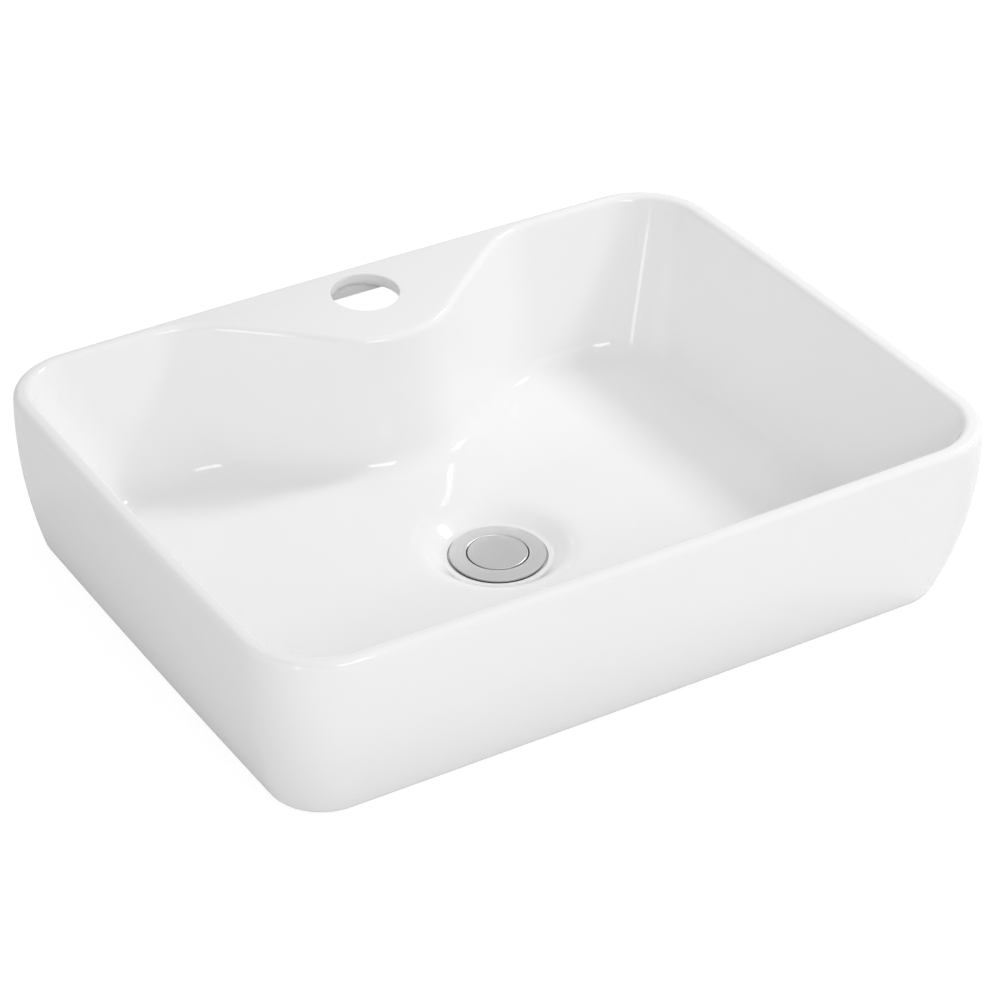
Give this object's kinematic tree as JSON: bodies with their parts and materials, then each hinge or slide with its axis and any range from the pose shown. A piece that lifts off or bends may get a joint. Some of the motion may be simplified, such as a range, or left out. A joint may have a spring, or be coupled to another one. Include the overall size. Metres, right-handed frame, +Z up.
{
  "type": "countertop basin",
  "caption": "Rectangular ceramic countertop basin with rounded corners, a bell-shaped tap deck with a tap hole, and a push-open waste with its tailpiece.",
  "frame": {"origin": "centre of the body's plan, on the plane that its foot ring rests on", "axes": "+Z up, -Y towards the user at the front, +X to the user's right; the tap deck is at +Y"},
  "size_m": [0.4798, 0.37, 0.214],
  "materials": {
    "glazed_ceramic": "gloss white glaze, bare clay on the foot ring",
    "satin_metal": "turned satin steel",
    "brass": "machined",
    "chrome_tube": "polished plate",
    "black_rubber": "moulded",
    "white_plastic": "moulded",
    "grey_plastic": "moulded",
    "spring_steel": "bright drawn wire"
  },
  "bodies": {
    "basin": {"basin_body": "glazed_ceramic", "waste_body": "satin_metal", "flange_gasket": "black_rubber", "underside_gasket": "black_rubber", "slip_washer": "white_plastic", "lock_nut": "brass", "tailpiece": "chrome_tube", "tailpiece_gasket": "black_rubber", "cartridge_housing": "brass", "cartridge_seal": "black_rubber", "cartridge_end_plug": "brass", "cartridge_spring": "spring_steel", "wiper_ring": "black_rubber"},
    "plug": {"stopper_cap": "satin_metal", "stopper_plug": "grey_plastic", "plug_seal": "black_rubber", "cartridge_plunger": "grey_plastic"},
    "rotor": {"cartridge_rotor": "white_plastic"}
  },
  "joints": [
    {"name": "plug_slide", "type": "slide", "parent": "basin", "child": "plug", "axis": [0, 0, 1], "range_m": [0, 0.01], "deforming": ["cartridge_spring"]},
    {"name": "rotor_turn", "type": "hinge", "parent": "plug", "child": "rotor", "pos_m": [0, -0.0036, -0.024], "axis": [0, 0, 1], "range_deg": [0, 60.5]}
  ],
  "couplings": [
    {"joint": "rotor_turn", "follows": "plug_slide", "rad_per_m": 104.72}
  ]
}
